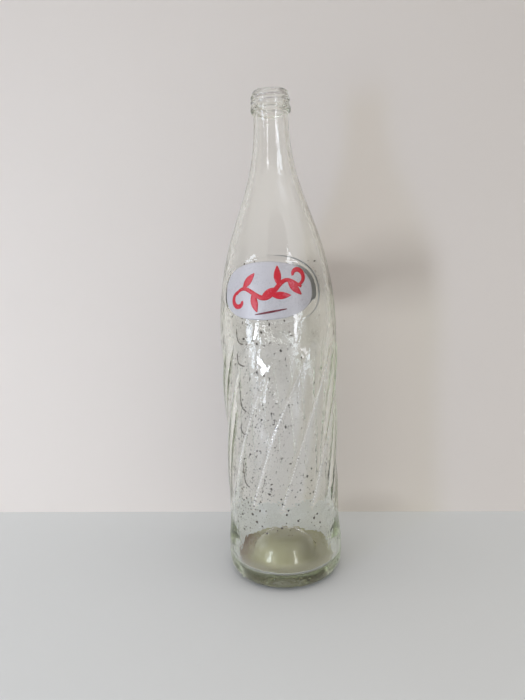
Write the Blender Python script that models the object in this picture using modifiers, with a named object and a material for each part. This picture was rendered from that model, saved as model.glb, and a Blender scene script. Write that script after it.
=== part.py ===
"""One-litre returnable glass soda bottle: spiral-fluted body, embossed oval panels and fired enamel labels.

Metres, +Z up. The origin is the centre of the ring that the bottle stands on, and the front label faces -Y.
Run with: blender --background --python part.py
"""

import math

import bmesh
import bpy
from mathutils import Vector

MM = 0.001

# Whole bottle
TOTAL_HEIGHT = 348.5 * MM
BAND_RADIUS = 42.5 * MM  # the two smooth bands that touch the next bottle on a filling line
WAIST_DEPTH = 1.5 * MM  # how far the rib crests between the bands stand back
BODY_WALL = 4.2 * MM  # measured inwards from the rib crests
COLUMNS = 48  # facets round the glass, four to each flute

# Base
HEEL_INSET = 9.0 * MM  # from the band in to the ring that the bottle stands on
HEEL_HEIGHT = 12.5 * MM
BEARING_WIDTH = 2.5 * MM
PUSH_UP_DEPTH = 12.0 * MM  # hollow under the base
FLOOR_HEIGHT = 10.5 * MM  # inner floor at the foot of its dome
FLOOR_CORNER = 4.0 * MM
FLOOR_LEDGE = 7.3 * MM  # level ring between the corner and the dome
DOME_HEIGHT = 14.5 * MM
DOME_SQUARENESS = 4  # 2 is a plain dome, more gives a flatter top and steeper flanks

# Bands, waist and spiral flutes, from the table up
LOWER_BAND_TOP = 24.0 * MM
LOWER_NARROWING = 18.0 * MM
FLUTE_START_RISE = 13.0 * MM  # above the end of the narrowing
SHOULDER_START = 172.0 * MM
UPPER_WIDENING = 64.0 * MM  # below the shoulder
FLUTE_END_RISE = 15.0 * MM  # above the start of the shoulder
FLUTES = 12
FLUTE_DEPTH = 0.9 * MM
FLUTE_FADE = 9.0 * MM
FLUTE_PHASE = math.radians(5.0)  # where one rib starts, from the front
TWIST_AT_FOOT = math.radians(0.40) / MM  # turn of the ribs for each metre of height
TWIST_GROWTH = math.radians(0.00114) / MM**2

# Shoulder: one curve, upright at both ends
SHOULDER_LOWER_HANDLE = 89.5 * MM
SHOULDER_UPPER_HANDLE = 67.7 * MM

# Continuous-thread finish, 28 mm
FINISH_RADIUS = 12.55 * MM
FINISH_WALL = 3.15 * MM
NECK_INSET = 0.45 * MM  # the neck is this much slimmer than the finish
LIP_ROUND = 0.9 * MM
THREAD_HEIGHT = 1.2 * MM
THREAD_PITCH = 3.18 * MM
THREAD_TURNS = 1.6
THREAD_ROUND = 1.1 * MM
THREAD_START_DROP = 7.6 * MM  # below the lip
BEAD_PROUD = 1.6 * MM
BEAD_TOP_DROP = 9.9 * MM
BEAD_DEPTH = 4.1 * MM

# Embossed oval panels, front and back
PANEL_RISE = 40.0 * MM  # centre above the start of the shoulder
PANEL_HALF_WIDTH = 36.6 * MM  # along the glass
PANEL_HALF_HEIGHT = 22.4 * MM
PANEL_SQUARENESS = 2.3  # 2 is an ellipse
RIDGE_HALF_WIDTH = 1.3 * MM
RIDGE_HEIGHT = 0.45 * MM

# Fired enamel
ENAMEL = 0.2 * MM
CLEARANCE = 0.25 * MM
GROUND_MARGIN = 3.2 * MM  # from the ridge's middle in to the white
GROUND_SHIFT = -2.1 * MM  # the white screen is printed a little left of the panel
PRINT_SIDE_MARGIN = 6.4 * MM  # from the white's edge in to the red
PRINT_END_MARGIN = 6.2 * MM
PRINT_TILT = math.radians(9.0)
STEM_HALF_WIDTH = 1.6 * MM
LEAF_LENGTH = 11.0 * MM
LEAF_HALF_WIDTH = 2.6 * MM
RULE_LENGTH = 21.0 * MM
RULE_HALF_WIDTH = 0.7 * MM
RULE_GAP = 1.2 * MM  # below the sprig
WRAP_STEP = 5.0 * MM  # a print is cut this fine before it bends round the glass

# Worked out from the sizes above
WAIST_RADIUS = BAND_RADIUS - WAIST_DEPTH
INSIDE_RADIUS = WAIST_RADIUS - BODY_WALL
BEARING_OUTER_RADIUS = BAND_RADIUS - HEEL_INSET
BEARING_INNER_RADIUS = BEARING_OUTER_RADIUS - BEARING_WIDTH
DOME_RADIUS = INSIDE_RADIUS - FLOOR_CORNER - FLOOR_LEDGE
WAIST_BOTTOM = LOWER_BAND_TOP + LOWER_NARROWING
WAIST_TOP = SHOULDER_START - UPPER_WIDENING
FLUTE_BOTTOM = WAIST_BOTTOM + FLUTE_START_RISE
FLUTE_TOP = SHOULDER_START + FLUTE_END_RISE
NECK_RADIUS = FINISH_RADIUS - NECK_INSET
BORE_RADIUS = FINISH_RADIUS - FINISH_WALL
THREAD_RADIUS = FINISH_RADIUS + THREAD_HEIGHT
BEAD_RADIUS = FINISH_RADIUS + BEAD_PROUD
BEAD_TOP = TOTAL_HEIGHT - BEAD_TOP_DROP
BEAD_UNDERSIDE = BEAD_TOP - BEAD_DEPTH
PANEL_CENTRE_HEIGHT = SHOULDER_START + PANEL_RISE
GROUND_HALF_WIDTH = PANEL_HALF_WIDTH - GROUND_MARGIN
GROUND_HALF_HEIGHT = PANEL_HALF_HEIGHT - GROUND_MARGIN
PRINT_WIDTH = 2 * (GROUND_HALF_WIDTH - PRINT_SIDE_MARGIN)
PRINT_HEIGHT = 2 * (GROUND_HALF_HEIGHT - PRINT_END_MARGIN)

GLASS_COLOUR = (0.78, 0.86, 0.80, 1.0)
WHITE_ENAMEL = (0.78, 0.78, 0.80, 1.0)
RED_ENAMEL = (0.56, 0.02, 0.04, 1.0)
DARK_RED_ENAMEL = (0.20, 0.02, 0.04, 1.0)


def clear_scene():
    for item in list(bpy.data.objects):
        bpy.data.objects.remove(item, do_unlink=True)


def collection(name):
    made = bpy.data.collections.new(name)
    bpy.context.scene.collection.children.link(made)
    return made


def material(name, colour, roughness, transmission=0.0):
    made = bpy.data.materials.new(name)
    made.use_nodes = True
    shader = made.node_tree.nodes["Principled BSDF"]
    shader.inputs["Base Color"].default_value = colour
    shader.inputs["Roughness"].default_value = roughness
    shader.inputs["Transmission Weight"].default_value = transmission
    return made


def add_object(name, mesh, group, look=None):
    made = bpy.data.objects.new(name, mesh)
    group.objects.link(made)
    if look:
        mesh.materials.append(look)
        mesh.shade_smooth()
        mesh.set_sharp_from_angle(angle=math.radians(35))
    return made


def applied(item):
    """A new mesh of the object as its modifiers or its curve settings leave it. The object is removed."""
    graph = bpy.context.evaluated_depsgraph_get()
    mesh = bpy.data.meshes.new_from_object(item.evaluated_get(graph))
    bpy.data.objects.remove(item, do_unlink=True)
    return mesh


def edited(mesh, change):
    """Runs change on the mesh as a bmesh."""
    work = bmesh.new()
    work.from_mesh(mesh)
    change(work)
    work.to_mesh(mesh)
    work.free()
    return mesh


def ease(start, end, value):
    """0 below start, 1 above end, smooth between."""
    share = min(max((value - start) / (end - start), 0.0), 1.0)
    return share * share * (3 - 2 * share)


# ---- Outline of the glass ----


def shoulder_radius(height):
    """Outer radius on the shoulder curve, found by halving."""
    lower = SHOULDER_START + SHOULDER_LOWER_HANDLE
    upper = BEAD_UNDERSIDE - SHOULDER_UPPER_HANDLE
    low, high = 0.0, 1.0
    for _ in range(40):
        middle = (low + high) / 2
        rest = 1 - middle
        reached = (
            rest**3 * SHOULDER_START
            + 3 * rest**2 * middle * lower
            + 3 * rest * middle**2 * upper
            + middle**3 * BEAD_UNDERSIDE
        )
        low, high = (middle, high) if reached < height else (low, middle)
    share = low * low * (3 - 2 * low)
    return BAND_RADIUS + (NECK_RADIUS - BAND_RADIUS) * share


def outer_radius(height):
    """Outer radius of the smooth glass from the table to the bead, without flutes and ridges."""
    if height >= BEAD_UNDERSIDE:
        return NECK_RADIUS
    if height >= SHOULDER_START:
        return shoulder_radius(height)
    if height < HEEL_HEIGHT:
        rise = math.sqrt(1 - (1 - height / HEEL_HEIGHT) ** 2)
        return BEARING_OUTER_RADIUS + (BAND_RADIUS - BEARING_OUTER_RADIUS) * rise
    narrowing = ease(LOWER_BAND_TOP, WAIST_BOTTOM, height) - ease(WAIST_TOP, SHOULDER_START, height)
    return BAND_RADIUS - (BAND_RADIUS - WAIST_RADIUS) * narrowing


def inner_radius(height):
    """The smooth inside, which ignores the flutes and thins towards the neck."""
    along = min(max((height - SHOULDER_START) / (BEAD_UNDERSIDE - SHOULDER_START), 0.0), 1.0)
    wall = BODY_WALL + (NECK_RADIUS - BORE_RADIUS - BODY_WALL) * along
    rise = height - FLOOR_HEIGHT
    if rise < FLOOR_CORNER:
        bend = math.sqrt(max(1 - (1 - rise / FLOOR_CORNER) ** 2, 0.0))
        return INSIDE_RADIUS - FLOOR_CORNER * (1 - bend)
    return min(outer_radius(height) - wall, INSIDE_RADIUS)


def steps(start, end, count, last=False):
    """count even steps from start, with end only where last is set."""
    return [start + (end - start) * i / count for i in range(count + last)]


def outside_outline():
    """(radius, height) from the lip down the outside to the centre of the base."""
    top = TOTAL_HEIGHT
    points = [(FINISH_RADIUS - LIP_ROUND, top)]
    for turn in steps(0, math.pi / 2, 3, last=True)[1:]:
        radius = FINISH_RADIUS - LIP_ROUND * (1 - math.sin(turn))
        points.append((radius, top - LIP_ROUND * (1 - math.cos(turn))))
    points += [
        (FINISH_RADIUS, BEAD_TOP + 0.7 * MM),
        (BEAD_RADIUS - 0.5 * MM, BEAD_TOP),
        (BEAD_RADIUS, BEAD_TOP - 0.6 * MM),
        (BEAD_RADIUS, BEAD_UNDERSIDE + 0.9 * MM),
        (BEAD_RADIUS - 0.9 * MM, BEAD_UNDERSIDE),
        (NECK_RADIUS + 0.2 * MM, BEAD_UNDERSIDE - 1.2 * MM),
    ]
    heights = steps(BEAD_UNDERSIDE - 6 * MM, FLUTE_TOP, 15)
    heights += steps(FLUTE_TOP, FLUTE_BOTTOM, 15)
    heights += steps(FLUTE_BOTTOM, HEEL_HEIGHT, 5)
    heights += [HEEL_HEIGHT * share for share in (1.0, 0.64, 0.36, 0.16, 0.04)]
    points += [(outer_radius(height), height) for height in heights]
    points += [(BEARING_OUTER_RADIUS, 0.0), (BEARING_INNER_RADIUS, 0.0)]
    for turn in steps(0, math.pi / 2, 6, last=True)[1:]:
        points.append((BEARING_INNER_RADIUS * math.cos(turn), PUSH_UP_DEPTH * math.sin(turn)))
    return points


def inside_outline():
    """(radius, height) from the centre of the inner floor up the bore to the lip."""
    points = []
    for share in steps(0, 1, 6):
        points.append((DOME_RADIUS * share, FLOOR_HEIGHT + DOME_HEIGHT * (1 - share**DOME_SQUARENESS)))
    points.append((DOME_RADIUS, FLOOR_HEIGHT))
    for rise in (0.0, 0.08, 0.3, 0.62, 1.0):
        height = FLOOR_HEIGHT + FLOOR_CORNER * rise
        points.append((inner_radius(height), height))
    heights = steps(FLOOR_HEIGHT + FLOOR_CORNER, SHOULDER_START, 11)[1:]
    heights += steps(SHOULDER_START, BEAD_UNDERSIDE, 12, last=True)
    points += [(inner_radius(height), height) for height in heights]
    points += [(BORE_RADIUS, TOTAL_HEIGHT - LIP_ROUND), (BORE_RADIUS + LIP_ROUND / 2, TOTAL_HEIGHT)]
    return points


def turned(name, outline, columns, group):
    """An outline of (radius, height) turned round Z, as a mesh."""
    mesh = bpy.data.meshes.new(name)

    def draw(work):
        dots = [work.verts.new((radius, 0.0, height)) for radius, height in outline]
        for first, second in zip(dots, dots[1:]):
            work.edges.new((first, second))

    item = add_object(name, edited(mesh, draw), group)
    screw = item.modifiers.new("turn", "SCREW")
    screw.steps = columns
    screw.render_steps = columns
    screw.use_merge_vertices = True
    screw.merge_threshold = 0.00001
    return applied(item)


# ---- Spiral flutes, thread and ridges ----


def twist(height):
    """How far the ribs have turned at a height, anticlockwise seen from above."""
    rise = min(max(height, FLUTE_BOTTOM), FLUTE_TOP) - FLUTE_BOTTOM
    return TWIST_AT_FOOT * rise + TWIST_GROWTH * rise * rise


def press_flutes(work):
    """Twists the whole mesh with the ribs and presses the flutes into its outside."""
    for dot in work.verts:
        x, y, height = dot.co
        radius, around = math.hypot(x, y), math.atan2(y, x)
        share = around * FLUTES / (2 * math.pi) % 1.0
        fade = ease(FLUTE_BOTTOM, FLUTE_BOTTOM + FLUTE_FADE, height)
        fade *= 1 - ease(FLUTE_TOP - FLUTE_FADE, FLUTE_TOP, height)
        if radius > (inner_radius(height) + outer_radius(height)) / 2:
            radius -= FLUTE_DEPTH * fade * math.sin(math.pi * share)
        # A column of crests stands at the front before it is turned, because the flutes divide a quarter turn.
        around += twist(height) + FLUTE_PHASE
        dot.co = (radius * math.cos(around), radius * math.sin(around), height)


def thread_ridge(group):
    """The raised thread: a round bar on a helix, thinning at both ends, half sunk in the wall."""
    per_turn = 28
    count = round(per_turn * THREAD_TURNS)
    curve = bpy.data.curves.new("thread_helix", "CURVE")
    curve.dimensions = "3D"
    curve.bevel_depth = THREAD_ROUND
    curve.bevel_resolution = 1
    curve.use_fill_caps = True
    line = curve.splines.new("POLY")
    line.points.add(count)
    begin = math.radians(120)
    radius = THREAD_RADIUS - THREAD_ROUND
    for index, dot in enumerate(line.points):
        angle = begin + 2 * math.pi * index / per_turn
        height = TOTAL_HEIGHT - THREAD_START_DROP + THREAD_PITCH * index / per_turn
        dot.co = (radius * math.cos(angle), radius * math.sin(angle), height, 1.0)
        dot.radius = 0.35 + 0.65 * min(1.0, min(index, count - index) / 4)
    item = bpy.data.objects.new("thread_helix", curve)
    group.objects.link(item)
    mesh = applied(item)
    return edited(mesh, lambda work: bmesh.ops.remove_doubles(work, verts=work.verts, dist=0.000001))


def on_glass(along, height, centre, clear):
    """The point at a distance along the glass from the centre angle, and clear of the surface."""
    radius = outer_radius(height)
    probe = 0.5 * MM
    slope = (outer_radius(height + probe) - outer_radius(height - probe)) / (2 * probe)
    length = math.hypot(1, slope)
    angle = centre + along / outer_radius(PANEL_CENTRE_HEIGHT)
    radius += clear / length
    return Vector((radius * math.cos(angle), radius * math.sin(angle), height - clear * slope / length))


def oval(angle, half_width, half_height):
    """A point of the panel's oval, which is a little squarer than an ellipse."""
    power = 2 / PANEL_SQUARENESS
    across, up = math.cos(angle), math.sin(angle)
    return (
        half_width * math.copysign(abs(across) ** power, across),
        half_height * math.copysign(abs(up) ** power, up),
    )


def panel_ridge(centre):
    """The embossed oval: a ring with a ridged section, bent round the glass and sunk into it."""
    major, minor, tube = 64, 4, 0.1
    bpy.ops.mesh.primitive_torus_add(
        major_segments=major, minor_segments=minor, major_radius=1.0, minor_radius=tube
    )
    item = bpy.context.active_object
    mesh = applied(item)

    def bend(work):
        for dot in work.verts:
            angle = math.atan2(dot.co.y, dot.co.x)
            outwards = (math.hypot(dot.co.x, dot.co.y) - 1.0) / tube
            lift = dot.co.z / tube
            along, up = oval(
                angle,
                PANEL_HALF_WIDTH + RIDGE_HALF_WIDTH * outwards,
                PANEL_HALF_HEIGHT + RIDGE_HALF_WIDTH * outwards,
            )
            sunk = -0.35 * MM
            clear = sunk + (RIDGE_HEIGHT - sunk) * lift if lift > 0 else sunk - 0.6 * MM * -lift
            dot.co = on_glass(along, PANEL_CENTRE_HEIGHT + up, centre, clear)

    return edited(mesh, bend)


def join(base, other, group):
    """The union of two closed meshes."""
    item = add_object("joined", base, group)
    cutter = add_object("joining", other, group)
    union = item.modifiers.new("union", "BOOLEAN")
    union.operation = "UNION"
    union.solver = "EXACT"
    union.object = cutter
    mesh = applied(item)
    bpy.data.objects.remove(cutter, do_unlink=True)
    return mesh


def glass_bottle(group, helpers, look):
    mesh = turned("glass", inside_outline() + outside_outline(), COLUMNS, helpers)
    edited(mesh, press_flutes)
    mesh = join(mesh, thread_ridge(helpers), helpers)
    for centre in (-math.pi / 2, math.pi / 2):
        mesh = join(mesh, panel_ridge(centre), helpers)
    add_object("glass_bottle", mesh, group, look)


# ---- Enamel labels ----


def ground(name, centre, group, look):
    """The white oval: a square grid rounded into the panel's shape, bent round the glass and thickened."""
    mesh = bpy.data.meshes.new(name)

    def shape(work):
        bmesh.ops.create_grid(work, x_segments=18, y_segments=10, size=1.0)
        for dot in work.verts:
            x, y = dot.co.x, dot.co.y
            across, up = x * math.sqrt(1 - y * y / 2), y * math.sqrt(1 - x * x / 2)
            reach, angle = math.hypot(across, up), math.atan2(up, across)
            along, rise = oval(angle, GROUND_HALF_WIDTH * reach, GROUND_HALF_HEIGHT * reach)
            dot.co = on_glass(along + GROUND_SHIFT, PANEL_CENTRE_HEIGHT + rise, centre, CLEARANCE)

    item = add_object(name, edited(mesh, shape), group, look)
    shell = item.modifiers.new("enamel", "SOLIDIFY")
    shell.thickness = ENAMEL
    shell.offset = 1.0
    return item


def ribbon(route, half_width, count, blunt=0.15):
    """A flat stroke along route(0..1), widest in the middle and nearly pointed at its ends, as a prism."""
    mesh = bpy.data.meshes.new("stroke")

    def draw(work):
        left, right = [], []
        for share in steps(0, 1, count, last=True):
            here = Vector(route(share))
            ahead = Vector(route(min(share + 0.01, 1.0))) - Vector(route(max(share - 0.01, 0.0)))
            side = Vector((-ahead.y, ahead.x)).normalized()
            width = half_width * (blunt + (1 - blunt) * math.sin(math.pi * share))
            left.append(work.verts.new((*(here + side * width), -ENAMEL / 2)))
            right.append(work.verts.new((*(here - side * width), -ENAMEL / 2)))
        for index in range(count):
            work.faces.new((left[index], right[index], right[index + 1], left[index + 1]))
        bmesh.ops.recalc_face_normals(work, faces=work.faces)
        made = bmesh.ops.extrude_face_region(work, geom=list(work.faces))
        lifted = [item for item in made["geom"] if isinstance(item, bmesh.types.BMVert)]
        bmesh.ops.translate(work, verts=lifted, vec=(0, 0, ENAMEL))
        bmesh.ops.recalc_face_normals(work, faces=work.faces)

    return edited(mesh, draw)


def stem(share):
    """The sprig's stem: one and a half waves across the print."""
    return (
        PRINT_WIDTH * (share - 0.5) * 0.86,
        PRINT_HEIGHT * 0.17 * math.sin(3 * math.pi * share + 0.4),
    )


def scroll(side):
    """A curl that leaves one end of the stem and winds inwards."""
    start = Vector(stem(0.5 + 0.46 * side))

    def route(share):
        turn = 1.45 * math.pi * share
        radius = PRINT_HEIGHT * 0.24 * (1 - 0.62 * share)
        middle = start + Vector((0, side * PRINT_HEIGHT * 0.24))
        return (middle.x + side * radius * math.sin(turn), middle.y - side * radius * math.cos(turn))

    return route


def leaf(share, side):
    """A leaf's midrib, from inside the stem out to its tip."""
    root = Vector(stem(share))
    ahead = (Vector(stem(share + 0.02)) - Vector(stem(share - 0.02))).normalized()
    lean = ahead * 0.66 + Vector((-ahead.y, ahead.x)) * 0.75 * side
    return lambda along: tuple(root + lean * (LEAF_LENGTH * along) + ahead * (1.5 * MM * along * along))


def wrapped(mesh, centre, rise):
    """Cuts a flat print into small faces, tilts it and bends it round the glass over the white ground."""
    reach = PRINT_WIDTH

    def bend(work):
        for axis in (Vector((1, 0, 0)), Vector((0, 1, 0))):
            for place in steps(-reach, reach, round(2 * reach / WRAP_STEP)):
                everything = list(work.verts) + list(work.edges) + list(work.faces)
                bmesh.ops.bisect_plane(work, geom=everything, plane_co=axis * place, plane_no=axis, dist=1e-7)
        for dot in work.verts:
            x, y, lift = dot.co
            along = x * math.cos(PRINT_TILT) - y * math.sin(PRINT_TILT)
            up = x * math.sin(PRINT_TILT) + y * math.cos(PRINT_TILT)
            clear = 2 * CLEARANCE + 1.5 * ENAMEL + lift
            dot.co = on_glass(along, PANEL_CENTRE_HEIGHT + rise + up, centre, clear)
        bmesh.ops.triangulate(work, faces=work.faces)

    return edited(mesh, bend)


def sprig(name, centre, group, helpers, look):
    """The red ornament: a waved stem with a scroll at each end and leaves on both sides."""
    mesh = ribbon(stem, STEM_HALF_WIDTH, 24, blunt=0.55)
    for side in (-1, 1):
        mesh = join(mesh, ribbon(scroll(side), STEM_HALF_WIDTH, 14, blunt=0.5), helpers)
    for share, side in ((0.12, 1), (0.24, -1), (0.34, 1), (0.46, -1), (0.56, 1), (0.66, -1), (0.78, 1), (0.88, -1)):
        mesh = join(mesh, ribbon(leaf(share, side), LEAF_HALF_WIDTH, 6), helpers)
    add_object(name, wrapped(mesh, centre, 0.0), group, look)


def rule(name, centre, group, look):
    """The short dark line under the sprig."""
    mesh = ribbon(lambda share: (RULE_LENGTH * (share - 0.5) + 2 * MM, 0.0), RULE_HALF_WIDTH, 12, blunt=0.4)
    add_object(name, wrapped(mesh, centre, -PRINT_HEIGHT / 2 - RULE_GAP), group, look)


def main():
    clear_scene()
    bottle = collection("glass_soda_bottle")
    helpers = collection("helpers")
    glass_bottle(bottle, helpers, material("soda_lime_glass", GLASS_COLOUR, 0.04, transmission=1.0))
    white = material("white_enamel", WHITE_ENAMEL, 0.35)
    red = material("red_enamel", RED_ENAMEL, 0.35)
    dark = material("dark_red_enamel", DARK_RED_ENAMEL, 0.4)
    for side, centre in (("front", -math.pi / 2), ("back", math.pi / 2)):
        ground(f"{side}_label_ground", centre, bottle, white)
        sprig(f"{side}_label_sprig", centre, bottle, helpers, red)
        rule(f"{side}_label_rule", centre, bottle, dark)


main()
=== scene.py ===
# %% [markdown]
# # A returnable glass soda bottle
# This lesson gives a finished surface to a one-litre bottle whose sizes are already fixed by its CAD model.
# The CAD model comes in as a frame that never moves. Each part of it is then replaced by a finer piece: the
# glass with its beaded spiral ribs, the thread, the raised ovals, the fired labels, and the dry dirt that
# an old empty bottle keeps. Everything is in metres, +Z is up, and the front label faces -Y.

# %% Load the frame
import math
import random

import bmesh
import bpy
from mathutils import Matrix, Vector, noise


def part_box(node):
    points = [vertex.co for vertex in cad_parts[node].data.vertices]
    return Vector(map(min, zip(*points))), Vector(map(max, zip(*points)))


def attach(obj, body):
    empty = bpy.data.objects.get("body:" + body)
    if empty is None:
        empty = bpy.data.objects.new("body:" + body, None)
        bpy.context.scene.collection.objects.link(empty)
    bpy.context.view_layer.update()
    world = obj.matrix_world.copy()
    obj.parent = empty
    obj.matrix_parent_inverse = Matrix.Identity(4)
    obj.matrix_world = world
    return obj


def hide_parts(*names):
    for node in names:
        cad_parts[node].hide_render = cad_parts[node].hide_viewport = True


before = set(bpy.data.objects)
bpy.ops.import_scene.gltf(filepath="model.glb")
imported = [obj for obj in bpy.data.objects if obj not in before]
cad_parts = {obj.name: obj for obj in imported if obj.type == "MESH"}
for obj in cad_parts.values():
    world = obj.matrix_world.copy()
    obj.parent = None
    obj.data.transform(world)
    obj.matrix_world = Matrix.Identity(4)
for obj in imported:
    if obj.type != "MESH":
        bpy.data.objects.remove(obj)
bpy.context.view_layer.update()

MM = 0.001
TOTAL_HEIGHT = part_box("glass_bottle")[1].z
print(f"CAD model: {len(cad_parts)} nodes, {TOTAL_HEIGHT / MM:.1f} mm tall")

# %% [markdown]
# ## The camera
# A camera that looks slightly down at a tall bottle makes its sides lean together, so the height, the
# distance and the lens all change the shape on the picture. They are set first, and everything else is
# judged through them. The label is turned 9 degrees away from the camera, which therefore stands that much
# to the right of the label's own axis.

# %% Camera
CAMERA_DISTANCE = 403.9 * MM
CAMERA_HEIGHT = 220.5 * MM
CAMERA_PITCH = math.radians(7.453)
CAMERA_ROLL = math.radians(-2.190)
AIM_LEFT = math.radians(1.709)
LABEL_TURN = math.radians(9.0)
FOCAL_LENGTH, SENSOR_WIDTH = 28.305, 36.0

lens = bpy.data.cameras.new("view")
lens.lens = FOCAL_LENGTH
lens.sensor_width = SENSOR_WIDTH
lens.clip_start = 0.01
camera = bpy.data.objects.new("view", lens)
place = Vector((math.sin(LABEL_TURN), -math.cos(LABEL_TURN), 0)) * CAMERA_DISTANCE
place += Vector((0, 0, CAMERA_HEIGHT))
camera.matrix_world = (
    Matrix.Translation(place)
    @ Matrix.Rotation(LABEL_TURN + AIM_LEFT, 4, "Z")
    @ Matrix.Rotation(math.radians(90) - CAMERA_PITCH, 4, "X")
    @ Matrix.Rotation(CAMERA_ROLL, 4, "Z")
)
bpy.context.scene.collection.objects.link(camera)
bpy.context.scene.camera = camera
bpy.context.scene.view_settings.view_transform = "Standard"
print(f"camera at {[round(value / MM) for value in place]} mm")

# %% [markdown]
# ## Nodes and colours
# Every finish below is a small network of shader nodes. One helper adds a node with its settings and its
# links, and one turns a colour as a designer writes it, in sRGB, into the linear numbers that a shader
# works with.

# %% Material helpers


def linear(code):
    """An sRGB hex colour such as '#C81E32' as linear red, green, blue and alpha."""
    parts = [int(code[i : i + 2], 16) / 255 for i in (1, 3, 5)]
    return [c / 12.92 if c <= 0.04045 else ((c + 0.055) / 1.055) ** 2.4 for c in parts] + [1.0]


def add_node(tree, kind, settings=None, links=None):
    """Adds a node.

    settings holds its properties or the values of its inputs, and links the sockets that feed its inputs.
    """
    node = tree.nodes.new(kind)
    for name, value in (settings or {}).items():
        if isinstance(name, str) and hasattr(node, name):
            setattr(node, name, value)
        else:
            node.inputs[name].default_value = value
    for name, socket in (links or {}).items():
        tree.links.new(socket, node.inputs[name])
    return node


def empty_material(name):
    made = bpy.data.materials.new(name)
    made.use_nodes = True
    made.node_tree.nodes.clear()
    return made, made.node_tree


# %% [markdown]
# ## Floor and backdrop
# Clear glass has almost no look of its own: it shows what stands behind it, bent. So the plain pale floor
# and the warm wall are part of the bottle's look. The wall lets a camera behind it see through, because a
# viewer may walk round.

# %% Floor and backdrop
WALL_TURN = math.radians(9.0 - 3.26)
WALL_DISTANCE = 94.0 * MM
HALF_SIDE = 1.5


def painted(name, code, roughness, grain):
    """Smooth paint with very faint uneven tone."""
    made, tree = empty_material(name)
    place = add_node(tree, "ShaderNodeTexCoord")
    cloud = add_node(
        tree, "ShaderNodeTexNoise", {"Scale": 4.0, "Detail": 3.0}, {"Vector": place.outputs["Object"]}
    )
    tone = add_node(
        tree,
        "ShaderNodeMapRange",
        {"From Min": 0.3, "From Max": 0.7, "To Min": 1 - grain, "To Max": 1 + grain},
        {"Value": cloud.outputs["Fac"]},
    )
    colour = add_node(
        tree, "ShaderNodeMix", {"data_type": "RGBA", "blend_type": "MULTIPLY", 0: 1.0, 6: linear(code)}
    )
    tree.links.new(tone.outputs["Result"], colour.inputs[7])
    paint = add_node(
        tree,
        "ShaderNodeBsdfPrincipled",
        {"Roughness": roughness, "Specular IOR Level": 0.2},
        {"Base Color": colour.outputs[2]},
    )
    return made, tree, paint


floor_paint, tree, paint = painted("floor_satin_paint", "#D2D8DB", 0.45, 0.01)
add_node(tree, "ShaderNodeOutputMaterial", links={"Surface": paint.outputs["BSDF"]})

wall_paint, tree, paint = painted("wall_matt_paint", "#E3DFDA", 0.9, 0.01)
side = add_node(tree, "ShaderNodeNewGeometry")
nothing = add_node(tree, "ShaderNodeBsdfTransparent")
seen = add_node(
    tree,
    "ShaderNodeMixShader",
    links={0: side.outputs["Backfacing"], 1: paint.outputs["BSDF"], 2: nothing.outputs["BSDF"]},
)
add_node(tree, "ShaderNodeOutputMaterial", links={"Surface": seen.outputs["Shader"]})

for name, look, matrix in (
    ("floor", floor_paint, Matrix.Identity(4)),
    (
        "backdrop",
        wall_paint,
        Matrix.Rotation(WALL_TURN, 4, "Z")
        @ Matrix.Translation((0, WALL_DISTANCE, 0))
        @ Matrix.Rotation(math.radians(90), 4, "X"),
    ),
):
    work = bmesh.new()
    bmesh.ops.create_grid(work, x_segments=2, y_segments=2, size=HALF_SIDE, matrix=matrix)
    mesh = bpy.data.meshes.new(name)
    work.to_mesh(mesh)
    work.free()
    mesh.materials.append(look)
    item = bpy.data.objects.new(name, mesh)
    bpy.context.scene.collection.objects.link(item)

# %% [markdown]
# ## Light
# Glass is drawn by its highlights. Two upright soft panels stand at the left front, like the two panes of a
# window, and a narrow one at the right front. Only the first lights the paint, so that the wall shows one
# soft shadow. The rest is a warm room that is darker at eye height than overhead. Light crosses many faces
# of glass before it leaves a thick base, so the paths through it are allowed more turns than usual. Light
# that glass would gather into bright spots is left out, and the glass lets it pass straight on instead, as
# told below.

# %% Light
room = bpy.data.worlds.new("room")
room.use_nodes = True
tree = room.node_tree
sky = add_node(tree, "ShaderNodeTexCoord")
upwards = add_node(tree, "ShaderNodeSeparateXYZ", links={"Vector": sky.outputs["Generated"]})
glow = add_node(
    tree,
    "ShaderNodeMapRange",
    {"From Min": 0.08, "From Max": 0.7, "To Min": 0.05, "To Max": 1.40},
    {"Value": upwards.outputs["Z"]},
)
tree.nodes["Background"].inputs["Color"].default_value = linear("#F4ECE5")
tree.links.new(glow.outputs["Result"], tree.nodes["Background"].inputs["Strength"])
bpy.context.scene.world = room
GLASS_BOUNCES, MIRROR_BOUNCES = 40, 16
cycles = bpy.context.scene.cycles
cycles.max_bounces = GLASS_BOUNCES
cycles.transmission_bounces = GLASS_BOUNCES
cycles.glossy_bounces = MIRROR_BOUNCES
cycles.caustics_refractive = False


def soft_panel(name, angle, distance, low, high, width, power, code, on_paint=True):
    """An upright light between two heights. angle is from the camera's side of the bottle, left negative."""
    light = bpy.data.lights.new(name, "AREA")
    light.shape = "RECTANGLE"
    light.size, light.size_y = width, high - low
    light.energy = power
    light.color = linear(code)[:3]
    item = bpy.data.objects.new(name, light)
    around = LABEL_TURN + math.radians(angle)
    item.location = (distance * math.sin(around), -distance * math.cos(around), (low + high) / 2)
    item.rotation_euler = (math.radians(90), 0, around)
    item.visible_camera = False
    item.visible_diffuse = on_paint
    bpy.context.scene.collection.objects.link(item)


soft_panel("window_sun_side", -42.3, 0.94, 0.03, 0.27, 0.10, 3.6, "#E8EFFF")
soft_panel("window_shade_side", -58, 1.30, 0.02, 0.76, 0.24, 4.4, "#E6EFFF", on_paint=False)
soft_panel("highlight", 34, 0.90, 0.12, 0.75, 0.09, 1.6, "#F6F6FF", on_paint=False)

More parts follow.
